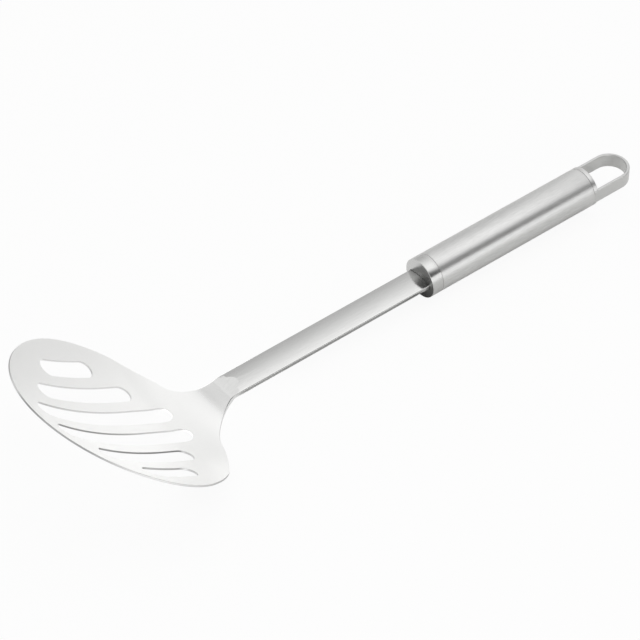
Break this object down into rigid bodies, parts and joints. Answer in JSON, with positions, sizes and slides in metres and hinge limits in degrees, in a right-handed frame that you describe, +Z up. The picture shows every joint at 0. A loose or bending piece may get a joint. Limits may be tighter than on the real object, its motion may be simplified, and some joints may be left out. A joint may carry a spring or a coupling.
{
  "type": "skimmer",
  "caption": "Stainless steel kitchen skimmer: wide dished head with long drain slots, straight flat shank, hollow round handle with capped ends and a hanging loop.",
  "frame": {"origin": "on the table under the middle of the bounding box, with the part lying as it rests: on the heel of the head and the lower edge of the front cap", "axes": "+X along the handle towards the hanging loop, +Y across the head, +Z up, with the open side of the head facing up"},
  "size_m": [0.3416, 0.1126, 0.0563],
  "materials": {
    "satin_steel": "satin, ground along its length",
    "polished_steel": "polished",
    "brushed_steel": "brushed along the handle",
    "loop_steel": "satin",
    "plain_steel": "unfinished, hidden"
  },
  "bodies": {
    "root": {"skimmer_blade": "satin_steel", "front_cap": "polished_steel", "handle_tube": "brushed_steel", "rear_cap": "polished_steel", "hanging_loop": "loop_steel", "tang_plug": "plain_steel"}
  },
  "joints": []
}
